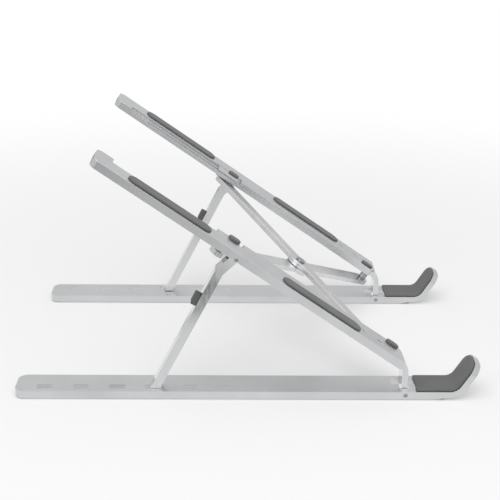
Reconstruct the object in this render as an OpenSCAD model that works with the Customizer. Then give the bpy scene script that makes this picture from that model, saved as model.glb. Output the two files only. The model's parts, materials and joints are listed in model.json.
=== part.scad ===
// Folding laptop stand: two mirrored sides joined by a pair of crossed bars.
// Each side has a slotted base arm with an upturned hook, a hinged upper arm that
// carries the laptop, and a strut that props the upper arm in one of the base slots.

/* [Overall] */
// Length of a base arm, rear end to the front of its hook
base_len = 251; // [220:1:300]
// Width over both base arms with the stand opened out
overall_w = 156; // [120:1:200]
// Width of each base arm and each upper arm
arm_w = 20; // [17:0.5:26]

/* [Base arms] */
// Depth of the base arm's side walls
base_h = 4.2; // [3.8:0.1:6]
// Thickness of the base arm's top plate
base_plate = 1.5; // [1.2:0.1:1.9]
// Thickness of the side walls of both arms
wall = 1.4; // [1.2:0.1:1.8]
// Corner radius of the base arm's rear end
base_corner = 5; // [2:0.5:8]
// Length of the solid block at the rear end
end_block = 9; // [8:1:14]
// Number of height slots
slot_count = 6; // [4:1:6]
// Distance from the rear end to the first slot
slot_first = 11; // [10.5:0.5:16]
// Distance between slots
slot_pitch = 19.6; // [17:0.1:21]
// Distance between the last two slots
slot_last_pitch = 18; // [16:0.1:20]
// Length of each slot
slot_len = 9; // [8:0.5:11]
// Width of each slot
slot_w = 4.8; // [4.2:0.1:5.2]
// Distance from the outer edge to the middle of the slots
slot_y = 5.8; // [5:0.1:6.5]

/* [Hook] */
// Thickness of the hook
hook_t = 3.4; // [2.6:0.1:4]
// Inner radius of the hook's bend
hook_r = 7; // [5:0.5:10]
// Angle between the hook's tip and the base
hook_angle = 58; // [45:1:75]
// Length of the hook's straight tip
hook_tip = 14.5; // [11:0.5:20]
// Corner radius of the hook's tip
hook_corner = 7; // [2:0.5:8]
// Thickness of the rubber pad in the hook
hook_pad_t = 1.1; // [0.8:0.1:1.6]
// Length of the flat part of the hook pad
hook_pad_flat = 18; // [14:0.5:24]
// Metal rim left around the hook pad
hook_pad_rim = 0.7; // [0.5:0.1:2]

/* [Feet] */
// Thickness of the feet that shows under the base arm
foot_drop = 0.8; // [0.5:0.1:2]
// Length of each foot
foot_len = 6.6; // [5:0.1:8]

/* [Hinge] */
// Distance from the rear end to the hinge pin
pin_x = 210.5; // [190:0.5:225]
// Diameter of the hinge pin
pin_d = 2.3; // [1.8:0.1:2.4]
// Thickness of the hinge tongue
tongue_t = 3.4; // [3.2:0.1:3.8]
// Width of the hinge tongue
tongue_w = 12; // [9:0.5:13]
// Outer radius of the tongue's bend
tongue_r = 8; // [6:0.5:10]
// Length of the tongue's flat plate under the upper arm
tongue_flat = 32; // [26:1:40]
// Length of the hinge slot in the base
hinge_slot_len = 12.6; // [11:0.1:16]

/* [Upper arms] */
// Distance along the arm from the hinge pin to its rear end
arm_len = 209; // [195:1:212]
// Height of the arm's top face above the hinge pin, square to the arm
arm_rise = 14.9; // [13.5:0.1:18]
// Depth of the upper arm's side walls
arm_h = 4.4; // [4:0.1:5.5]
// Thickness of the upper arm's top plate
arm_plate = 1.2; // [1:0.1:1.4]
// Corner radius of the arm's rear end
arm_corner = 3.5; // [1.5:0.5:6]
// Corner radius of the arm's front end on its inner side
nose_corner = 6; // [1:0.5:7]
// Length of the full-height rear end past the slide track
track_end = 10; // [8:1:14]
// Width of the slide track along the inner edge
track_w = 6.5; // [6:0.1:7.5]
// Depth of the slide track
track_d = 2.1; // [1.9:0.1:2.4]

/* [Pads] */
// Thickness of the arm pads above the top face
pad_t = 1; // [0.6:0.1:1.5]
// Width of the long arm pads
pad_w = 9.4; // [7:0.1:10]
// Length of the rear and front long pads
pad_len = 51; // [40:1:55]
// Distance along the arm from the hinge pin to the front long pad
front_pad_t = 41; // [32:1:50]
// Distance along the arm from the hinge pin to the rear long pad
rear_pad_t = 137.8; // [130:0.1:142]
// Length of the small pads at the front and on the slider
small_pad_len = 8; // [5:0.1:9]
// Width of the small pads
small_pad_w = 5; // [3:0.1:5.5]

/* [Struts] */
// Length of a strut, pivot to tip
strut_len = 89.3; // [86:0.1:94]
// Distance along the arm from the hinge pin to the strut pivot
strut_t = 119.5; // [117:0.5:123]
// Depth of the strut pivot below the arm's top face
strut_drop = 3.5; // [3.4:0.1:3.8]
// Width of the strut across the stand
strut_w = 8; // [6:0.1:8]
// Thickness of the strut seen from the side
strut_d = 4.6; // [4:0.1:5.5]
// Diameter of the strut pin
strut_pin_d = 2.2; // [1.8:0.1:2.4]
// Slot that the strut tip stands in, counted from the rear
rest_slot = 4; // [3:1:4]

/* [Cross bars] */
// Width of a cross bar
bar_w = 8.5; // [7:0.1:9]
// Depth of a cross bar's channel
bar_h = 2.8; // [2.4:0.1:3]
// Wall of a cross bar's channel
bar_wall = 1.1; // [0.9:0.1:1.3]
// Diameter of the round boss where the bars cross
hub_d = 14; // [11:0.5:16]
// Distance along the arm from the hinge pin to the fixed pivots
front_t = 16; // [15:0.5:20]
// Distance along the arm from the hinge pin to the sliding pivots
rear_t = 127; // [125:0.5:130]
// Diameter of the bar rivets
rivet_d = 3; // [2.4:0.1:3.2]

/* [Fits] */
// Clearance all round a pin or rivet in a turning hole
run_gap = 0.05; // [0.03:0.01:0.1]
// Clearance between faces that slide or turn past each other
slide_gap = 0.2; // [0.15:0.05:0.3]

/* [Hidden] */
$fn = 48;

LEFT = 1;
RIGHT = -1;
over = 1;

// heights in the base frame
base_top = foot_drop + base_h;
pin_z = base_top - 2;
tongue_y = arm_w / 2 + 0.9;
flat_end = base_len - hook_t * sin(hook_angle) - hook_tip * cos(hook_angle) - hook_r * sin(hook_angle);

// strut geometry: the strut props the arm, so its length sets the arm's slope
tip_depth = 2.3;
tip_z = base_top - tip_depth;
tip_x = slot_x(rest_slot) + slot_len / 2;
strut_rise = arm_rise - strut_drop;
prop_a = norm([strut_t, strut_rise]);
prop_b = norm([pin_x - tip_x, tip_z - pin_z]);
tilt = acos((prop_a * prop_a + prop_b * prop_b - strut_len * strut_len) / (2 * prop_a * prop_b))
    + atan2(tip_z - pin_z, pin_x - tip_x) - atan2(strut_rise, strut_t);
strut_px = pin_x - strut_t * cos(tilt) + strut_rise * sin(tilt);
strut_pz = pin_z + strut_t * sin(tilt) + strut_rise * cos(tilt);
strut_lean = atan2(strut_px - tip_x, strut_pz - tip_z);
strut_y0 = slot_y - slot_w / 2 + slide_gap;
// strut's side view: pivot head, then a slanted part down to the knee, then a straight leg
head_r = strut_drop - arm_plate - slide_gap / 2;
neck_back = 1.2;
neck_down = 3.4;
knee_back = 3.7;
knee_down = 11.4;
straight_lean = atan2(knee_back, strut_len - knee_down);
shoulder_gap = 0.4;

// slide track and scissor geometry in the arm frame
track_front = rear_t - 10;
track_rear = arm_len - track_end;
track_y = arm_w - track_w;
track_lip = 1;
pivot_y = arm_w - track_w / 2 - 0.4;
slider_front = 7.5;
slider_rear = 6.5;
neck_w = 2.6;
neck_len = 6;
bar_span = overall_w - 2 * pivot_y;
bar_len = norm([bar_span, rear_t - front_t]);
bar_angle = atan2(bar_span, rear_t - front_t);
closed_gap = 2.5;
closed_span = 2 * (arm_w - pivot_y) + closed_gap;
travel = sqrt(bar_len * bar_len - closed_span * closed_span) - (rear_t - front_t);
upper_bar_off = arm_h + 1.1;
lower_bar_off = upper_bar_off + bar_h + 0.3;
slider_low_off = upper_bar_off - 0.15;
rivet_head_d = rivet_d + 1.6;
rivet_head_t = 0.9;
slider_bore = 2;
small_pad_rise = 0.4;

// hinge tongue: thinner flat past the bend, and its two rivets
tongue_flat_t = 2;
bend_root = 0.6;
bolt_ts = [27.5, 38];
bolt_y = tongue_y - 1.5;

// feet: sockets in the underside at the rear end and in front of the hinge
foot_rear_x = 1.4;
foot_front_x = flat_end - foot_len - wall;
foot_seat = 1;

function slot_x(n) = slot_first + (n - 1) * slot_pitch
    - (n == slot_count ? slot_pitch - slot_last_pitch : 0);

// ---------- frames ----------

// children in a side's own frame: x from the rear end, y inward from the outer edge
module on_base(side) {
    translate([-base_len / 2, -side * overall_w / 2, 0])
        mirror([0, side == RIGHT ? 1 : 0, 0])
            children();
}

// children in an upper arm's frame: x toward the front from the hinge pin, z square to the arm
module on_arm(side) {
    on_base(side)
        translate([pin_x, 0, pin_z])
            rotate([0, tilt, 0])
                children();
}

// children in a strut's frame: origin on its pivot, tip straight down the z axis
module on_strut(side) {
    on_base(side)
        translate([strut_px, 0, strut_pz])
            rotate([0, strut_lean, 0])
                children();
}

// a box at distance t0..t1 behind the hinge pin and off0..off1 below the arm's top face
module arm_box(t0, t1, y0, y1, off0, off1) {
    translate([-t1, y0, arm_rise - off1])
        cube([t1 - t0, y1 - y0, off1 - off0]);
}

// a post square to the arm at distance t behind the pin, off0..off1 below the top face
module arm_post(t, y, d, off0, off1) {
    translate([-t, y, arm_rise - off1])
        cylinder(d = d, h = off1 - off0);
}

module stadium(len, w) {
    translate([w / 2, 0]) circle(d = w);
    translate([len - w / 2, 0]) circle(d = w);
    translate([w / 2, -w / 2]) square([len - w, w]);
}

// rectangle whose corners on its low-x side are rounded
module rounded_end(len, w, r) {
    translate([r, 0]) square([len - r, w]);
    translate([0, r]) square([r + 0.01, w - 2 * r]);
    translate([r, r]) circle(r = r);
    translate([r, w - r]) circle(r = r);
}

// cutter that rounds a plate's corner, which lies at the origin
module corner_cut(r) {
    difference() {
        translate([-r, -r]) square(r + over);
        translate([-r, -r]) circle(r = r);
    }
}

// ---------- base arm ----------

// points along an arc of radius r about a centre, from angle a0 to a1
function arc(centre, r, a0, a1, steps = 20) =
    [for (i = [0:steps]) let (a = a0 + (a1 - a0) * i / steps) centre + r * [cos(a), sin(a)]];

// side view of a strip t thick that follows the flat, the bend and the tip of the hook,
// with its inner face lift above the metal
function hook_strip(tip_len, lift, t) =
    let (centre = [flat_end, base_top + hook_r], r = hook_r - lift, a1 = hook_angle - 90,
        along = [cos(hook_angle), sin(hook_angle)])
    concat(arc(centre, r + t, -90, a1), [centre + (r + t) * [cos(a1), sin(a1)] + tip_len * along,
        centre + r * [cos(a1), sin(a1)] + tip_len * along], arc(centre, r, a1, -90));

// cutter past the rounded end of a strip that runs to x = len between y = 0 and y = w
module end_trim(len, w, r) {
    translate([0, 0, -40])
        linear_extrude(80)
            difference() {
                translate([len - r, -over]) square([r + 2 * over, w + 2 * over]);
                translate([len - r - over, r]) square([r + over, w - 2 * r]);
                for (y = [r, w - r]) translate([len - r, y]) circle(r = r);
            }
}

// frame along the hook's tip: x up the tip from the bend's centre line, z toward the laptop
module hook_tip_frame() {
    translate([flat_end, 0, base_top + hook_r])
        rotate([0, -hook_angle, 0])
            translate([0, 0, -hook_r])
                children();
}

// extrudes a side view across the arm, y0 in from the outer edge and w wide
module across(y0, w) {
    translate([0, y0 + w, 0])
        rotate([90, 0, 0])
            linear_extrude(w)
                children();
}

module base_body() {
    bend_ramp = 8;
    difference() {
        across(0, arm_w)
            polygon(concat([[0, base_top], [0, foot_drop], [flat_end - bend_ramp, foot_drop]],
                hook_strip(hook_tip, 0, hook_t)));
        mirror([1, 0, 0]) end_trim(0, arm_w, base_corner);
        hook_tip_frame()
            intersection() {
                end_trim(hook_tip, arm_w, hook_corner);
                translate([0, -over, -hook_t - 1]) cube([hook_tip + 4, arm_w + 2 * over, hook_t + 2]);
            }
    }
}

module base_arm(side) {
    color("silver")
        on_base(side)
            difference() {
                base_body();
                base_hollow();
                base_slots();
                hinge_slot();
                translate([pin_x, -over, pin_z])
                    rotate([-90, 0, 0])
                        cylinder(d = pin_d, h = arm_w + 2 * over);
            }
}

// channel under the top plate, split by a cross wall between the slots and the hinge
module base_hollow() {
    rib = pin_x - hinge_slot_len / 2 - 2 * wall - 2;
    front_wall = foot_front_x - 3 * wall;
    for (span = [[end_block, rib], [rib + wall, front_wall]])
        translate([span[0], wall, foot_drop - over])
            cube([span[1] - span[0], arm_w - 2 * wall, base_h - base_plate + over]);
    for (x = [foot_rear_x, foot_front_x])
        translate([x, wall, foot_drop - over])
            cube([foot_len, arm_w - 2 * wall, foot_seat + over]);
}

module base_slots() {
    for (n = [1:slot_count])
        translate([slot_x(n), slot_y - slot_w / 2, -over])
            linear_extrude(base_top + 2 * over)
                rounded_slot(slot_len, slot_w, 0.8);
}

module rounded_slot(len, w, r) {
    translate([r, 0]) square([len - 2 * r, w]);
    translate([0, r]) square([len, w - 2 * r]);
    for (x = [r, len - r], y = [r, w - r])
        translate([x, y]) circle(r = r);
}

module hinge_slot() {
    translate([pin_x - hinge_slot_len / 2 - 0.3, tongue_y - tongue_w / 2 - 0.4, -over])
        cube([hinge_slot_len, tongue_w + 0.8, base_top + 2 * over]);
}

module hook_pad(side) {
    w = arm_w - 2 * hook_pad_rim;
    reach = hook_tip - hook_pad_rim;
    color("dimgray")
        on_base(side)
            translate([0, hook_pad_rim, 0])
                difference() {
                    across(0, w)
                        polygon(concat([[flat_end - hook_pad_flat, base_top + hook_pad_t],
                            [flat_end - hook_pad_flat, base_top]],
                            hook_strip(reach, hook_pad_t, hook_pad_t)));
                    translate([flat_end - hook_pad_flat, 0, 0])
                        mirror([1, 0, 0]) end_trim(0, w, 1.2);
                    hook_tip_frame()
                        intersection() {
                            end_trim(reach, w, hook_corner - hook_pad_rim);
                            translate([0, -over, -1]) cube([reach + 4, w + 2 * over, hook_pad_t + 2]);
                        }
                }
}

module feet(side) {
    side_gap = 0.3;
    color("dimgray")
        on_base(side)
            for (x = [foot_rear_x, foot_front_x])
                translate([x + side_gap, wall + side_gap, 0])
                    linear_extrude(foot_drop + foot_seat)
                        rounded_slot(foot_len - 2 * side_gap, arm_w - 2 * wall - 2 * side_gap, 1.4);
}

module hinge_pin(side) {
    sink = 0.2;
    color("gray")
        on_base(side)
            translate([pin_x, sink, pin_z])
                rotate([-90, 0, 0])
                    cylinder(d = pin_d, h = arm_w - 2 * sink);
}

// ---------- upper arm ----------

module upper_arm(side) {
    nose = front_t - 4.5;
    color("silver")
        on_arm(side)
            difference() {
                translate([-arm_len, 0, arm_rise - arm_h])
                    linear_extrude(arm_h)
                        difference() {
                            rounded_end(arm_len - nose, arm_w, arm_corner);
                            translate([arm_len - nose, arm_w]) corner_cut(nose_corner);
                        }
                arm_hollow(nose);
                slide_track();
                arm_holes();
            }
}

// underside channels: a wide one ahead of the slide track, a narrow one beside it
module arm_hollow(nose) {
    arm_box(nose - over, track_front - wall, wall, arm_w - wall, arm_plate, arm_h + over);
    arm_box(nose, track_rear + wall, wall, track_y - wall, arm_plate, arm_h + over);
    arm_box(track_front, track_rear, track_y, arm_w - wall, track_d + track_lip, arm_h + over);
}

module slide_track() {
    arm_box(track_front, track_rear, track_y, arm_w + over, -over, track_d);
    arm_box(rear_t - neck_len / 2 - 1, rear_t + travel + neck_len / 2 + 1,
        pivot_y - neck_w / 2 - slide_gap, pivot_y + neck_w / 2 + slide_gap, 0, arm_h + over);
}

module arm_holes() {
    translate([-strut_t, -over, arm_rise - strut_drop])
        rotate([-90, 0, 0])
            cylinder(d = strut_pin_d, h = track_y + over);
    for (t = bolt_ts)
        arm_post(t, bolt_y, rivet_d, -over, arm_plate + over);
    arm_post(front_t, pivot_y, rivet_d, -over, arm_plate + over);
}

// side view of the strap, from the pin: upright, bend, then the flat under the arm
module tongue_profile() {
    out = tongue_t / 2;
    // centre of the bend, from the pin
    centre_z = (arm_rise - arm_plate - tongue_r - (out - tongue_r) * sin(tilt)) / cos(tilt);
    centre = [out - tongue_r, centre_z];
    along = [-cos(tilt), sin(tilt)];
    square_up = [sin(tilt), cos(tilt)];
    inner = tongue_r - tongue_t;
    flat_low = tongue_r - tongue_flat_t;
    polygon(concat(arc([0, 0], out, -180, 0), arc(centre, tongue_r, 0, 90 - tilt),
        [centre + tongue_r * square_up + tongue_flat * along,
            centre + flat_low * square_up + tongue_flat * along,
            centre + flat_low * square_up + (bend_root + 1) * along,
            centre + inner * square_up + bend_root * along],
        arc(centre, inner, 90 - tilt, 0)));
}

// strap under the arm's top plate that bends down into the hinge
module hinge_tongue(side) {
    color("lightgray")
        difference() {
            on_base(side)
                translate([pin_x, 0, pin_z])
                    across(tongue_y - tongue_w / 2, tongue_w)
                        tongue_profile();
            on_base(side)
                translate([pin_x, 0, pin_z])
                    rotate([-90, 0, 0])
                        cylinder(d = pin_d + 2 * run_gap, h = arm_w);
            on_arm(side) {
                for (t = bolt_ts)
                    arm_post(t, bolt_y, rivet_d, 0, arm_h);
                arm_post(front_t, pivot_y, rivet_d, 0, arm_h);
            }
        }
}

// two rivets that hold the strap to the arm, heads flush above and domed below
module tongue_rivets(side) {
    under = arm_plate + tongue_flat_t;
    color("gray")
        on_arm(side)
            for (t = bolt_ts) {
                arm_post(t, bolt_y, rivet_d, 0, under + 0.1);
                arm_post(t, bolt_y, rivet_head_d, under, under + rivet_head_t);
            }
}

module arm_pads(side) {
    pad_y = (track_y - 0.4) / 2;
    color("dimgray")
        on_arm(side)
            translate([0, 0, arm_rise]) {
                for (t = [rear_pad_t, front_pad_t])
                    translate([-t - pad_len, pad_y, 0])
                        linear_extrude(pad_t)
                            stadium(pad_len, pad_w);
                translate([1.6 - front_t - small_pad_len, pivot_y, 0])
                    linear_extrude(pad_t + small_pad_rise)
                        stadium(small_pad_len, small_pad_w);
            }
}

// ---------- strut ----------

module strut_profile() {
    // bent head from the pivot to the knee, then the straight leg
    hull() {
        circle(r = head_r);
        translate([-neck_back, -neck_down]) circle(d = strut_d);
    }
    hull() {
        translate([-neck_back, -neck_down]) circle(d = strut_d);
        translate([-knee_back, -knee_down]) circle(d = strut_d);
    }
    leg();
}

// straight leg from the knee toward the tip
module leg() {
    translate([0, -strut_len])
        rotate(straight_lean)
            translate([-strut_d / 2, tip_depth])
                square([strut_d, norm([knee_back, strut_len - knee_down]) - tip_depth]);
}

module strut(side) {
    color("lightgray")
        difference() {
            union() {
                difference() {
                    on_strut(side)
                        translate([0, strut_y0 + strut_w, 0])
                            rotate([90, 0, 0])
                                linear_extrude(strut_w)
                                    strut_profile();
                    // foot of the leg is cut level, just clear of the base's top plate
                    on_base(side)
                        translate([tip_x - 20, -over, base_top + shoulder_gap - 20])
                            cube([40, arm_w, 20]);
                    strut_groove(side);
                }
                strut_tip(side);
            }
            on_strut(side)
                translate([0, -over, 0])
                    rotate([-90, 0, 0])
                        cylinder(d = strut_pin_d + 2 * run_gap, h = arm_w);
        }
}

// open groove down the front of the leg, which leaves a channel section
module strut_groove(side) {
    on_strut(side)
        translate([0, strut_y0 + wall + 0.4, -strut_len])
            rotate([0, -straight_lean, 0])
                translate([strut_d / 2 - 2.6, 0, 12])
                    cube([over + 2.6, strut_w - 2 * wall - 0.8, strut_len - knee_down - 18]);
}

// wedge that drops into the base slot
module strut_tip(side) {
    tip_w = slot_w - 2 * slide_gap - 0.2;
    half = strut_d / 2;
    lift = base_top + shoulder_gap;
    on_base(side)
        translate([tip_x, strut_y0 + tip_w, 0])
            rotate([90, 0, 0])
                linear_extrude(tip_w)
                    polygon([[-0.5, tip_z], [0.5, tip_z], [half + 0.6, lift], [half + 1.6, lift + 1.6],
                        [-half + 1.6, lift + 1.6], [-half + 0.4, lift]]);
}

module strut_pin(side) {
    sink = 0.1;
    color("gray")
        on_arm(side)
            translate([-strut_t, sink, arm_rise - strut_drop])
                rotate([-90, 0, 0])
                    cylinder(d = strut_pin_d, h = track_y - sink - 0.1);
}

// rubber block on the rear of the leg, which rests on the base when the stand is folded
module strut_bumper(side) {
    bump_len = 6.2;
    bump_t = 3;
    bump_from_tip = 55;
    inset = 0.8;
    color("dimgray")
        on_strut(side)
            translate([0, strut_y0 + inset, -strut_len])
                rotate([0, -straight_lean, 0])
                    translate([-strut_d / 2 - bump_t, 0, bump_from_tip])
                        cube([bump_t, strut_w - 2 * inset, bump_len]);
}

// ---------- slider in the arm's track ----------

module slider(side) {
    color("lightgray")
        on_arm(side)
            difference() {
                union() {
                    arm_box(rear_t - slider_front, rear_t + slider_rear,
                        track_y + slide_gap, arm_w - slide_gap, 0.2, track_d - slide_gap);
                    arm_box(rear_t - neck_len / 2, rear_t + neck_len / 2,
                        pivot_y - neck_w / 2, pivot_y + neck_w / 2, 0.4, arm_h);
                    arm_box(rear_t - slider_front + 1, rear_t + slider_rear - 0.5,
                        track_y + slide_gap, arm_w - wall - slide_gap,
                        track_d + track_lip + slide_gap, slider_low_off);
                }
                arm_post(rear_t, pivot_y, slider_bore, 2, arm_h + over);
            }
}

module slider_pad(side) {
    color("dimgray")
        on_arm(side)
            translate([-rear_t, pivot_y + 0.15, arm_rise - 0.2])
                linear_extrude(pad_t + 0.2 + small_pad_rise)
                    stadium(small_pad_len - 0.8, small_pad_w);
}

// shoulder rivet: a thin root pressed in its seat, a collar, the bearing and a head
module bar_rivet(t, root_d, root_off, collar_off, bar_off) {
    web = bar_off + bar_wall;
    head = web + slide_gap / 2;
    arm_post(t, pivot_y, root_d, root_off, collar_off + 0.1);
    if (bar_off - collar_off > 1)
        arm_post(t, pivot_y, rivet_head_d, collar_off, bar_off - 0.1);
    arm_post(t, pivot_y, rivet_d, collar_off, head + 0.1);
    arm_post(t, pivot_y, rivet_head_d, head, head + rivet_head_t);
}

module slider_rivet(side) {
    color("gray")
        on_arm(side)
            bar_rivet(rear_t, slider_bore, 2, slider_low_off, bar_off_at(side, true));
}

module front_rivet(side) {
    color("gray")
        on_arm(side)
            bar_rivet(front_t, rivet_d, 0, arm_plate + tongue_flat_t, bar_off_at(side, false));
}

// depth of the bar that a side's rivet carries: the upper bar runs left front to right rear
function bar_off_at(side, rear) =
    (side == LEFT) == rear ? lower_bar_off : upper_bar_off;

// ---------- crossed bars ----------

// frame of the arms' plane at mid width, origin over the hinge pins
module on_plane() {
    translate([pin_x - base_len / 2, 0, pin_z])
        rotate([0, tilt, 0])
            children();
}

// channel bar from its front pivot to its rear pivot, dir 1 runs left front to right rear
module cross_bar(dir, off) {
    on_plane()
        translate([-front_t, -dir * bar_span / 2, arm_rise - off])
            rotate([0, 0, 180 - dir * bar_angle])
                difference() {
                    union() {
                        translate([0, 0, -bar_h])
                            linear_extrude(bar_h)
                                translate([-bar_w / 2, 0])
                                    stadium(bar_len + bar_w, bar_w);
                        translate([bar_len / 2, 0, -bar_h]) cylinder(d = hub_d, h = bar_h);
                    }
                    translate([0, 0, -bar_h - over])
                        linear_extrude(bar_h - bar_wall + over)
                            translate([-bar_w / 2 + bar_wall, 0])
                                stadium(bar_len + bar_w - 2 * bar_wall, bar_w - 2 * bar_wall);
                    translate([bar_len / 2, 0, -bar_h - over])
                        cylinder(d = hub_d - 2 * bar_wall, h = bar_h - bar_wall + over);
                    for (x = [0, bar_len / 2, bar_len])
                        translate([x, 0, -bar_h - over])
                            cylinder(d = rivet_d + 2 * run_gap, h = bar_h + 2 * over);
                }
}

module upper_cross_bar() {
    color("silver") cross_bar(1, upper_bar_off);
}

module lower_cross_bar() {
    color("silver") cross_bar(-1, lower_bar_off);
}

module at_hub() {
    on_plane()
        translate([-(front_t + rear_t) / 2, 0, arm_rise])
            children();
}

// ring between the two webs at the crossing
module hub_spacer() {
    top = upper_bar_off + bar_wall;
    color("gray")
        at_hub()
            translate([0, 0, -lower_bar_off + 0.05])
                difference() {
                    cylinder(d = hub_d - 2 * bar_wall - 2, h = lower_bar_off - top - 0.1);
                    translate([0, 0, -over])
                        cylinder(d = rivet_d + 2 * run_gap, h = bar_h + 2 * over);
                }
}

module hub_rivet() {
    head_top = 0.7;
    under = lower_bar_off + bar_wall + slide_gap / 2;
    color("gray")
        at_hub() {
            translate([0, 0, -under - rivet_head_t]) cylinder(d = rivet_head_d, h = rivet_head_t);
            translate([0, 0, -under - 0.1]) cylinder(d = rivet_d, h = under - upper_bar_off + 0.2);
            translate([0, 0, -upper_bar_off + slide_gap / 4]) cylinder(d = rivet_head_d + 1, h = head_top);
        }
}

base_arm(LEFT);  // left_base_arm
base_arm(RIGHT);  // right_base_arm
hook_pad(LEFT);  // left_hook_pad
hook_pad(RIGHT);  // right_hook_pad
feet(LEFT);  // left_feet
feet(RIGHT);  // right_feet
hinge_pin(LEFT);  // left_hinge_pin
hinge_pin(RIGHT);  // right_hinge_pin
upper_arm(LEFT);  // left_upper_arm
upper_arm(RIGHT);  // right_upper_arm
hinge_tongue(LEFT);  // left_hinge_tongue
hinge_tongue(RIGHT);  // right_hinge_tongue
tongue_rivets(LEFT);  // left_tongue_rivets
tongue_rivets(RIGHT);  // right_tongue_rivets
arm_pads(LEFT);  // left_arm_pads
arm_pads(RIGHT);  // right_arm_pads
strut(LEFT);  // left_strut
strut(RIGHT);  // right_strut
strut_pin(LEFT);  // left_strut_pin
strut_pin(RIGHT);  // right_strut_pin
strut_bumper(LEFT);  // left_strut_bumper
strut_bumper(RIGHT);  // right_strut_bumper
slider(LEFT);  // left_slider
slider(RIGHT);  // right_slider
slider_pad(LEFT);  // left_slider_pad
slider_pad(RIGHT);  // right_slider_pad
slider_rivet(LEFT);  // left_slider_rivet
slider_rivet(RIGHT);  // right_slider_rivet
front_rivet(LEFT);  // left_front_rivet
front_rivet(RIGHT);  // right_front_rivet
upper_cross_bar();
lower_cross_bar();
hub_spacer();
hub_rivet();
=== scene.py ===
"""Folding laptop stand in anodised aluminium: finishes, eased edges and a small studio."""
import json
import math

import bmesh
import bpy
from mathutils import Matrix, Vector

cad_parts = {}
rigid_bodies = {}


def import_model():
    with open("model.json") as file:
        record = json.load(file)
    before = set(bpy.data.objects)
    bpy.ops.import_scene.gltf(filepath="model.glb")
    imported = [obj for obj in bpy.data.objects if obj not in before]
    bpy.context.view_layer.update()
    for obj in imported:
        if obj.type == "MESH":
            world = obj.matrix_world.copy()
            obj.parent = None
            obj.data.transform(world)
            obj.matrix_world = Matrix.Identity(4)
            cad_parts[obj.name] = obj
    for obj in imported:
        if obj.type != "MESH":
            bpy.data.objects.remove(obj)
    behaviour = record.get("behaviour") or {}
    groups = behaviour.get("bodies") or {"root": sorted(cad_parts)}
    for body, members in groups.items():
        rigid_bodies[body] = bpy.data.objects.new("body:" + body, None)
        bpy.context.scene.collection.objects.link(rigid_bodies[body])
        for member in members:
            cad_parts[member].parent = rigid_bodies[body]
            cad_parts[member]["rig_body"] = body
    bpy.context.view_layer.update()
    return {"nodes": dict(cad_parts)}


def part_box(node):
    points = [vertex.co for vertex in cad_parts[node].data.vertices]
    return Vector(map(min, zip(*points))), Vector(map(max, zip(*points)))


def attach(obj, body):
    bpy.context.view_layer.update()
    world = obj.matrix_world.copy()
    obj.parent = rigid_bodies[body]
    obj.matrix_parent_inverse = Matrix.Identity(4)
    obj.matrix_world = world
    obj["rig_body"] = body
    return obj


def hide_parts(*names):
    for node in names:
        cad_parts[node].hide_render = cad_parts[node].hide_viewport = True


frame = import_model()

bl_info = {
    "name": "Folding Laptop Stand",
    "version": (1, 0, 0),
    "blender": (4, 5, 0),
    "location": "View3D > Sidebar > Stand",
    "description": "Dresses the folding laptop stand's parts and sets up its studio",
    "category": "Object",
}

SIDES = ("left", "right")
MM = 0.001
# faces whose angle is under the first stay one flat face, and edges over the second are eased
FLAT_ANGLE = math.radians(0.8)
SHARP_ANGLE = math.radians(30)
WELD = 0.002 * MM
# most values of a noise lie between these two
NOISE_LOW, NOISE_HIGH = 0.3, 0.7


# ---------- materials ----------

def linear(hex_colour):
    """An sRGB hex colour such as #C8C9CA as the linear RGBA that a socket takes."""
    parts = [int(hex_colour[i:i + 2], 16) / 255 for i in (1, 3, 5)]
    return [c / 12.92 if c <= 0.04045 else ((c + 0.055) / 1.055) ** 2.4 for c in parts] + [1.0]


def add_node(tree, kind, settings=(), inputs=()):
    """Adds one node. settings are its properties; inputs are values or output sockets to link."""
    made = tree.nodes.new(kind)
    for name, value in dict(settings).items():
        setattr(made, name, value)
    for name, value in dict(inputs).items():
        if isinstance(value, bpy.types.NodeSocket):
            tree.links.new(value, made.inputs[name])
        else:
            made.inputs[name].default_value = value
    return made


def new_material(name):
    """An empty node material and its tree."""
    made = bpy.data.materials.new(name)
    made.use_nodes = True
    made.node_tree.nodes.clear()
    return made, made.node_tree


def grain(tree, size_mm, stretch=(1, 1, 1), detail=3.0):
    """Noise with cells of about size_mm, drawn out along the axes where stretch is small."""
    where = add_node(tree, "ShaderNodeTexCoord").outputs["Object"]
    scaled = add_node(tree, "ShaderNodeMapping", inputs={"Vector": where, "Scale": stretch})
    return add_node(tree, "ShaderNodeTexNoise", inputs={
        "Vector": scaled.outputs["Vector"], "Scale": 1 / (size_mm * MM), "Detail": detail,
    }).outputs["Fac"]


def surface(tree, tones, cloud, skin, roughness, relief=None, others=()):
    """A material's shader. cloud leads the colour from the dark to the light tone; skin leads the
    roughness from its low to its high value, and the relief, a strength and a depth in mm."""
    led = {"tone": (cloud, 0.0, 1.0), "roughness": (skin, *roughness)}
    for part, (noise, low, high) in led.items():
        led[part] = add_node(tree, "ShaderNodeMapRange", inputs={
            "Value": noise, "From Min": NOISE_LOW, "From Max": NOISE_HIGH,
            "To Min": low, "To Max": high,
        }).outputs["Result"]
    dark, light = tones
    colour = add_node(tree, "ShaderNodeMix", {"data_type": "RGBA"},
                      {0: led["tone"], 6: linear(dark), 7: linear(light)})
    inputs = {"Base Color": colour.outputs[2], "Roughness": led["roughness"], **dict(others)}
    if relief:
        strength, depth_mm = relief
        inputs["Normal"] = add_node(tree, "ShaderNodeBump", inputs={
            "Height": skin, "Strength": strength, "Distance": depth_mm * MM,
        }).outputs["Normal"]
    shader = add_node(tree, "ShaderNodeBsdfPrincipled", inputs=inputs)
    add_node(tree, "ShaderNodeOutputMaterial", inputs={"Surface": shader.outputs["BSDF"]})


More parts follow.
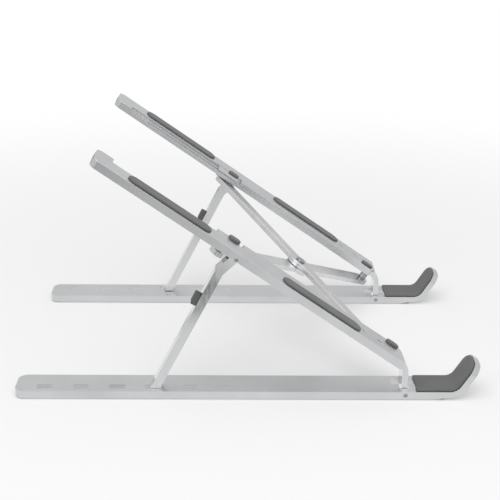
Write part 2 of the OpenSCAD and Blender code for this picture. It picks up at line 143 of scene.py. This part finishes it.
def blasted_aluminium(colours):
    """Bead-blasted, clear anodised aluminium: satin, with a faint sparkle and soft cloudy tone."""
    made, tree = new_material("bead_blasted_anodised_aluminium")
    # blasting leaves pits of about 0.1 mm; drawn at 0.35 mm, the finest that shows
    surface(tree, (colours.metal_shade, colours.metal), grain(tree, 22),
            grain(tree, 0.35, detail=2.0), (0.30, 0.42), (0.25, 0.02), {"Metallic": 1.0})
    return made


def cut_edge_with_painted_highlight(colours):
    """Diamond-cut edge, bare aluminium a little brighter than the anodised faces, with its colour
    raised near white as a painted highlight: a thin crisp line along each edge.
    """
    made, tree = new_material("diamond_cut_edge_with_painted_highlight")
    lines = grain(tree, 0.5, stretch=(0.05, 1, 1))
    # the near-white edge colour is partly the bare cut and partly a painted highlight
    surface(tree, (colours.edge, colours.edge), lines, lines, (0.14, 0.24),
            others={"Metallic": 1.0})
    return made


def drawn_aluminium(colours):
    """Drawn and anodised aluminium rod: smoother, with faint lines along its length."""
    made, tree = new_material("drawn_anodised_aluminium")
    # draw lines of about 0.2 mm, drawn at 0.6 mm so that they show
    lines = grain(tree, 0.6, stretch=(0.25, 1, 0.08))
    surface(tree, (colours.metal_shade, colours.metal), lines, lines, (0.16, 0.27),
            (0.12, 0.02), {"Metallic": 1.0})
    return made


def pressed_aluminium(colours):
    """Pressed and anodised aluminium sheet: even satin, with slight waviness from the press."""
    made, tree = new_material("pressed_anodised_aluminium_sheet")
    surface(tree, (colours.metal_shade, colours.sheet), grain(tree, 9),
            grain(tree, 0.45, detail=2.0), (0.24, 0.34), (0.15, 0.02), {"Metallic": 1.0})
    return made


def turned_steel(colours):
    """Turned steel pin or rivet: darker than aluminium, with fine rings that catch light."""
    made, tree = new_material("turned_steel")
    rings = grain(tree, 0.4, detail=4.0)
    surface(tree, (colours.steel_shade, colours.steel), rings, rings, (0.22, 0.34),
            others={"Metallic": 1.0})
    return made


def moulded_silicone(colours):
    """Moulded silicone pad: mid grey, dry and matt, with spark-eroded mould grain."""
    made, tree = new_material("moulded_silicone")
    # mould grain of about 0.15 mm, drawn at 0.4 mm
    surface(tree, (colours.pad_shade, colours.pad), grain(tree, 14), grain(tree, 0.4),
            (0.52, 0.68), (0.3, 0.03), {"IOR": 1.41, "Sheen Weight": 0.15, "Sheen Roughness": 0.5})
    return made


def moulded_rubber(colours):
    """Moulded rubber foot or bumper: dark grey, slightly duller than the pads."""
    made, tree = new_material("moulded_rubber")
    skin = grain(tree, 0.5)
    surface(tree, (colours.rubber_shade, colours.rubber), skin, skin, (0.6, 0.75),
            (0.35, 0.04), {"IOR": 1.52})
    return made


def moulded_acetal(colours):
    """Moulded acetal slider: light grey, waxy, a little glossier than the metal."""
    made, tree = new_material("moulded_acetal")
    skin = grain(tree, 1.2)
    surface(tree, (colours.slider_shade, colours.slider), skin, skin, (0.32, 0.42),
            (0.1, 0.02), {"IOR": 1.48})
    return made


MAKERS = {
    "blasted": blasted_aluminium,
    "cut": cut_edge_with_painted_highlight,
    "drawn": drawn_aluminium,
    "pressed": pressed_aluminium,
    "steel": turned_steel,
    "silicone": moulded_silicone,
    "rubber": moulded_rubber,
    "acetal": moulded_acetal,
}
MADE = {}


def finish_of(name):
    """The material of that short name, made once."""
    if name not in MADE:
        MADE[name] = MAKERS[name](bpy.context.scene.stand_colours)
    return MADE[name]


# ---------- pieces ----------

def clean_mesh(node, name):
    """A copy of a CAD node's mesh with its flat faces whole again, ready for eased edges."""
    shape = bmesh.new()
    shape.from_mesh(frame["nodes"][node].data)
    bmesh.ops.remove_doubles(shape, verts=shape.verts, dist=WELD)
    bmesh.ops.dissolve_limit(shape, angle_limit=FLAT_ANGLE, verts=shape.verts,
                             edges=shape.edges)
    for face in shape.faces:
        face.smooth = True
    made = bpy.data.meshes.new(name)
    shape.to_mesh(made)
    shape.free()
    made.set_sharp_from_angle(angle=SHARP_ANGLE)
    return made


def eased(node, piece, finishes, width_mm):
    """A piece with the node's shape and rounded edges, which rides and stands for that node."""
    made = bpy.data.objects.new(piece, clean_mesh(node, piece))
    bpy.context.scene.collection.objects.link(made)
    for finish in finishes:
        made.data.materials.append(finish_of(finish))
    ease = made.modifiers.new("eased_edges", "BEVEL")
    ease.limit_method = "ANGLE"
    ease.angle_limit = SHARP_ANGLE
    ease.width = width_mm * MM
    ease.segments = 3
    ease.miter_outer = "MITER_ARC"
    # the eased edges take the second finish: for metal, the cut edge whose colour is partly a
    # painted highlight
    if len(finishes) > 1:
        ease.material = 1
    shade = made.modifiers.new("flat_faces_stay_flat", "WEIGHTED_NORMAL")
    shade.keep_sharp = True
    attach(made, frame["nodes"][node]["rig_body"])
    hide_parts(node)
    return made


# ---------- settings ----------

def size_property(name, text, default):
    return bpy.props.FloatProperty(name=name, description=text, default=default, min=0.02,
                                   max=1.5, unit="NONE")


def colour_property(name, text, default):
    return bpy.props.StringProperty(name=name, description=text + ", as an sRGB hex value",
                                    default=default)


class StandColours(bpy.types.PropertyGroup):
    """Colours of the stand's finishes."""
    metal: colour_property("Metal", "Anodised aluminium", "#D2D3D4")
    metal_shade: colour_property("Metal shade", "Darker clouds in the aluminium", "#CBCCCD")
    sheet: colour_property("Sheet", "Pressed aluminium of the cross bars", "#D8D8D9")
    # near white partly as a painted highlight on every eased edge, not only the bare cut's own
    # brightness
    edge: colour_property("Edge", "Diamond-cut edges", "#F7F7F7")
    steel: colour_property("Steel", "Pins and rivets", "#A9AAAC")
    steel_shade: colour_property("Steel shade", "Darker rings on pins and rivets", "#8E9092")
    pad: colour_property("Pad", "Silicone pads", "#646465")
    pad_shade: colour_property("Pad shade", "Darker clouds in the pads", "#5B5B5C")
    rubber: colour_property("Rubber", "Feet and bumpers", "#5C5C5D")
    rubber_shade: colour_property("Rubber shade", "Darker grain in the rubber", "#4A4A4B")
    slider: colour_property("Slider", "Acetal sliders", "#C2C3C4")
    slider_shade: colour_property("Slider shade", "Darker tone in the sliders", "#B4B5B6")


class StandEdges(bpy.types.PropertyGroup):
    """Width in millimetres that each kind of edge is eased by."""
    arms: size_property("Arms", "Base arms", 0.4)
    upper_arms: size_property("Upper arms", "Upper arms and their thin track lips", 0.22)
    straps: size_property("Straps", "Hinge tongues", 0.45)
    struts: size_property("Struts", "Struts", 0.5)
    bars: size_property("Bars", "Cross bars", 0.35)
    small: size_property("Small parts", "Pins, rivets and sliders", 0.2)
    pads: size_property("Pads", "Silicone pads", 0.45)
    rubber: size_property("Rubber", "Feet and bumpers", 0.35)


class StandStudio(bpy.types.PropertyGroup):
    """Camera, floor and lights."""
    camera_place: bpy.props.FloatVectorProperty(
        name="Camera place", description="Where the camera stands", subtype="XYZ", unit="LENGTH",
        default=(-0.0116, -0.6398, 0.2885))
    pitch: bpy.props.FloatProperty(
        name="Pitch", description="How far the camera looks down", subtype="ANGLE",
        default=math.radians(19.82))
    yaw: bpy.props.FloatProperty(
        name="Yaw", description="How far the camera turns to its right", subtype="ANGLE",
        default=math.radians(1.19))
    roll: bpy.props.FloatProperty(
        name="Roll", description="How far the camera leans to its left", subtype="ANGLE",
        default=math.radians(0.73))
    lens: bpy.props.FloatProperty(
        name="Lens", description="Focal length on a 36 mm sensor", subtype="DISTANCE_CAMERA",
        default=83.7)
    floor_size: bpy.props.FloatProperty(
        name="Table size", description="Side of the square table", unit="LENGTH", default=14.0)
    table_white: bpy.props.FloatProperty(
        name="White table", description="Distance to which metal sees the table white",
        unit="LENGTH", default=0.34)
    table_end: bpy.props.FloatProperty(
        name="Table end", description="Distance from which metal sees the room beyond",
        unit="LENGTH", default=0.66)
    room_level: bpy.props.FloatProperty(
        name="Room level", description="Brightness of the room beyond the table", default=0.22)
    flag_tone: colour_property("Flag tone", "Card that darkens the struts", "#6A6A6A")
    flag_front: bpy.props.FloatProperty(
        name="Flag front", description="Y of the card's front edge", unit="LENGTH", default=-0.27)
    flag_back: bpy.props.FloatProperty(
        name="Flag back", description="Y of the card's back edge", unit="LENGTH", default=-0.19)
    flag_short: bpy.props.FloatProperty(
        name="Flag short", description="How far the card stops before the strut's top",
        unit="LENGTH", default=0.008)
    softbox_place: bpy.props.FloatVectorProperty(
        name="Softbox place", description="Where the overhead light hangs", subtype="XYZ",
        unit="LENGTH", default=(-0.1, -0.75, 1.25))
    softbox_size: bpy.props.FloatProperty(
        name="Softbox size", description="Side of the square light", unit="LENGTH", default=1.7)
    softbox_power: bpy.props.FloatProperty(
        name="Softbox power", description="Power of the light in watts", default=15)
    room_light: bpy.props.FloatProperty(
        name="Room light", description="Strength of the soft light from all round", default=0.6)
    room_white: bpy.props.FloatProperty(
        name="Room white", description="Brightness of the walls that metal reflects", default=0.8)
    shadow_depth: bpy.props.FloatProperty(
        name="Shadow depth", description="Share of the stand's shadow that shows", default=0.8)
    shadow_reach: bpy.props.FloatProperty(
        name="Shadow reach", description="Distance to which the shadow keeps its depth",
        unit="LENGTH", default=0.14)


# ---------- operators ----------

class STAND_OT_base_arms(bpy.types.Operator):
    """Slotted base arms with their upturned hooks."""
    bl_idname = "stand.base_arms"
    bl_label = "Base arms"

    def execute(self, context):
        for side in SIDES:
            eased(f"{side}_base_arm", f"{side}_base_arm_shell", ["blasted", "cut"],
                  context.scene.stand_edges.arms)
        return {"FINISHED"}


class STAND_OT_upper_arms(bpy.types.Operator):
    """Upper arms with their slide tracks."""
    bl_idname = "stand.upper_arms"
    bl_label = "Upper arms"

    def execute(self, context):
        for side in SIDES:
            eased(f"{side}_upper_arm", f"{side}_upper_arm_shell", ["blasted", "cut"],
                  context.scene.stand_edges.upper_arms)
        return {"FINISHED"}


class STAND_OT_hinge_tongues(bpy.types.Operator):
    """Bent straps that carry the upper arms on the hinge pins."""
    bl_idname = "stand.hinge_tongues"
    bl_label = "Hinge tongues"

    def execute(self, context):
        for side in SIDES:
            eased(f"{side}_hinge_tongue", f"{side}_hinge_strap", ["drawn", "cut"],
                  context.scene.stand_edges.straps)
        return {"FINISHED"}


class STAND_OT_struts(bpy.types.Operator):
    """Struts that prop the upper arms."""
    bl_idname = "stand.struts"
    bl_label = "Struts"

    def execute(self, context):
        for side in SIDES:
            eased(f"{side}_strut", f"{side}_strut_leg", ["drawn", "cut"],
                  context.scene.stand_edges.struts)
        return {"FINISHED"}


class STAND_OT_cross_bars(bpy.types.Operator):
    """Pair of crossed channel bars."""
    bl_idname = "stand.cross_bars"
    bl_label = "Cross bars"

    def execute(self, context):
        for level in ("upper", "lower"):
            eased(f"{level}_cross_bar", f"{level}_cross_bar_channel", ["pressed", "cut"],
                  context.scene.stand_edges.bars)
        return {"FINISHED"}


class STAND_OT_sliders(bpy.types.Operator):
    """Acetal sliders in the upper arms' tracks."""
    bl_idname = "stand.sliders"
    bl_label = "Sliders"

    def execute(self, context):
        for side in SIDES:
            eased(f"{side}_slider", f"{side}_slider_block", ["acetal"],
                  context.scene.stand_edges.small)
        return {"FINISHED"}


class STAND_OT_pins_and_rivets(bpy.types.Operator):
    """Hinge pins, strut pins and all the rivets."""
    bl_idname = "stand.pins_and_rivets"
    bl_label = "Pins and rivets"

    def execute(self, context):
        kinds = ("hinge_pin", "strut_pin", "tongue_rivets", "slider_rivet", "front_rivet")
        nodes = [f"{side}_{kind}" for side in SIDES for kind in kinds]
        for node in nodes + ["hub_spacer", "hub_rivet"]:
            eased(node, f"{node}_turned", ["steel"], context.scene.stand_edges.small)
        return {"FINISHED"}


class STAND_OT_pads(bpy.types.Operator):
    """Silicone pads that hold the laptop."""
    bl_idname = "stand.pads"
    bl_label = "Pads"

    def execute(self, context):
        for side in SIDES:
            for kind in ("hook_pad", "arm_pads", "slider_pad"):
                made = eased(f"{side}_{kind}", f"{side}_{kind}_moulded", ["silicone"],
                             context.scene.stand_edges.pads)
        return {"FINISHED"}


class STAND_OT_rubber(bpy.types.Operator):
    """Rubber feet, and the bumpers on the struts."""
    bl_idname = "stand.rubber"
    bl_label = "Feet and bumpers"

    def execute(self, context):
        for side in SIDES:
            for kind in ("feet", "strut_bumper"):
                eased(f"{side}_{kind}", f"{side}_{kind}_moulded", ["rubber"],
                      context.scene.stand_edges.rubber)
        return {"FINISHED"}


def reflected(tree, path):
    """1 for rays that reach the background by reflection or through glass."""
    return add_node(tree, "ShaderNodeMath", {"operation": "MAXIMUM"}, {
        0: path.outputs["Is Glossy Ray"], 1: path.outputs["Is Transmission Ray"],
    }).outputs[0]


def painted_table(studio):
    """Matt white table: the camera sees white with a soft shadow, metal sees it end in the dark."""
    made, tree = new_material("matt_white_studio_table")
    matt = add_node(tree, "ShaderNodeBsdfDiffuse", inputs={"Color": linear("#F2F2F2")})
    place = add_node(tree, "ShaderNodeTexCoord").outputs["Object"]
    away = add_node(tree, "ShaderNodeVectorMath", {"operation": "LENGTH"}, {0: place})
    level = add_node(tree, "ShaderNodeMapRange", {"interpolation_type": "SMOOTHSTEP"}, {
        "Value": away.outputs["Value"], "From Min": studio.table_white, "From Max": studio.table_end,
        "To Min": 1.0, "To Max": studio.room_level,
    })
    path = add_node(tree, "ShaderNodeLightPath")
    strength = add_node(tree, "ShaderNodeMath", {"operation": "MAXIMUM"},
                        {0: level.outputs["Result"], 1: path.outputs["Is Camera Ray"]})
    glow = add_node(tree, "ShaderNodeEmission", inputs={"Strength": strength.outputs[0]})
    cover = add_node(tree, "ShaderNodeMapRange", {"interpolation_type": "SMOOTHSTEP"}, {
        "Value": away.outputs["Value"], "From Min": studio.shadow_reach,
        "From Max": studio.table_end, "To Min": 1 - studio.shadow_depth, "To Max": 1.0,
    })
    shine = add_node(tree, "ShaderNodeMath", {"operation": "MULTIPLY"},
                     {0: path.outputs["Is Camera Ray"], 1: cover.outputs["Result"]})
    share = add_node(tree, "ShaderNodeMath", {"operation": "MAXIMUM"},
                     {0: shine.outputs[0], 1: reflected(tree, path)})
    shown = add_node(tree, "ShaderNodeMixShader",
                     inputs={0: share.outputs[0], 1: matt.outputs[0], 2: glow.outputs[0]})
    add_node(tree, "ShaderNodeOutputMaterial", inputs={"Surface": shown.outputs[0]})
    return made


def dark_flag(name, tone, corner, far_corner):
    """A grey card laid flat in front of the stand, seen only by polished metal."""
    (x0, y0), (x1, y1) = corner, far_corner
    made, tree = new_material(name)
    grey = add_node(tree, "ShaderNodeEmission", inputs={"Color": linear(tone)})
    add_node(tree, "ShaderNodeOutputMaterial", inputs={"Surface": grey.outputs[0]})
    data = bpy.data.meshes.new(name)
    data.from_pydata([(x0, y0, MM), (x1, y0, MM), (x1, y1, MM), (x0, y1, MM)], [], [(0, 1, 2, 3)])
    data.materials.append(made)
    card = bpy.data.objects.new(name, data)
    card.visible_camera = False
    card.visible_diffuse = False
    card.visible_shadow = False
    bpy.context.scene.collection.objects.link(card)


def area_light(name, place, size, power):
    """A soft square light that looks at the middle of the stand."""
    data = bpy.data.lights.new(name, "AREA")
    data.shape = "SQUARE"
    data.size = size
    data.energy = power
    made = bpy.data.objects.new(name, data)
    made.location = place
    made.rotation_euler = (-made.location).to_track_quat("-Z", "Y").to_euler()
    bpy.context.scene.collection.objects.link(made)


class STAND_OT_stage(bpy.types.Operator):
    """White table, soft lights, world and camera."""
    bl_idname = "stand.stage"
    bl_label = "Stage"

    def execute(self, context):
        studio = context.scene.stand_studio
        half = studio.floor_size / 2
        data = bpy.data.meshes.new("studio_table")
        data.from_pydata([(-half, -half, 0), (half, -half, 0), (half, half, 0), (-half, half, 0)],
                         [], [(0, 1, 2, 3)])
        data.materials.append(painted_table(studio))
        table = bpy.data.objects.new("studio_table", data)
        context.scene.collection.objects.link(table)

        strut_low, strut_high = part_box("left_strut")
        dark_flag("strut_flag", studio.flag_tone, (strut_low.x, studio.flag_front),
                  (strut_high.x - studio.flag_short, studio.flag_back))
        area_light("overhead_softbox", studio.softbox_place, studio.softbox_size,
                   studio.softbox_power)

        world = bpy.data.worlds.new("soft_white_room")
        world.use_nodes = True
        world.node_tree.nodes.clear()
        path = add_node(world.node_tree, "ShaderNodeLightPath")
        seen = add_node(world.node_tree, "ShaderNodeMath", {"operation": "MAXIMUM"}, {
            0: path.outputs["Is Camera Ray"], 1: reflected(world.node_tree, path)})
        level = add_node(world.node_tree, "ShaderNodeMapRange", inputs={
            "Value": seen.outputs[0], "To Min": studio.room_light, "To Max": studio.room_white})
        light = add_node(world.node_tree, "ShaderNodeBackground", inputs={
            "Color": linear("#FFFFFF"), "Strength": level.outputs["Result"]})
        add_node(world.node_tree, "ShaderNodeOutputWorld", inputs={"Surface": light.outputs[0]})
        context.scene.world = world

        view = bpy.data.cameras.new("camera")
        view.lens = studio.lens
        view.sensor_width = 36
        view.clip_start = 0.01
        view.clip_end = 50
        camera = bpy.data.objects.new("camera", view)
        camera.matrix_world = (
            Matrix.Translation(studio.camera_place)
            @ Matrix.Rotation(-studio.yaw, 4, "Z")
            @ Matrix.Rotation(math.pi / 2 - studio.pitch, 4, "X")
            @ Matrix.Rotation(studio.roll, 4, "Z"))
        context.scene.collection.objects.link(camera)
        context.scene.camera = camera
        context.scene.view_settings.view_transform = "Standard"
        return {"FINISHED"}


OPERATORS = (STAND_OT_base_arms, STAND_OT_upper_arms, STAND_OT_hinge_tongues, STAND_OT_struts,
             STAND_OT_cross_bars, STAND_OT_sliders, STAND_OT_pins_and_rivets, STAND_OT_pads,
             STAND_OT_rubber, STAND_OT_stage)
SETTINGS = {"stand_colours": StandColours, "stand_edges": StandEdges, "stand_studio": StandStudio}


class STAND_PT_panel(bpy.types.Panel):
    """Sizes, colours and steps of the laptop stand."""
    bl_idname = "STAND_PT_panel"
    bl_label = "Laptop stand"
    bl_space_type = "VIEW_3D"
    bl_region_type = "UI"
    bl_category = "Stand"

    def draw(self, context):
        for name, group in SETTINGS.items():
            box = self.layout.box()
            for key in group.__annotations__:
                box.prop(getattr(context.scene, name), key)
        for operator in OPERATORS:
            self.layout.operator(operator.bl_idname)


def register():
    for kind in (*SETTINGS.values(), *OPERATORS, STAND_PT_panel):
        bpy.utils.register_class(kind)
    for name, kind in SETTINGS.items():
        setattr(bpy.types.Scene, name, bpy.props.PointerProperty(type=kind))


def unregister():
    for name in SETTINGS:
        delattr(bpy.types.Scene, name)
    for kind in (STAND_PT_panel, *reversed(OPERATORS), *reversed(SETTINGS.values())):
        bpy.utils.unregister_class(kind)


def main():
    register()
    for operator in OPERATORS:
        group, name = operator.bl_idname.split(".")
        getattr(getattr(bpy.ops, group), name)()


if __name__ == "__main__":
    main()
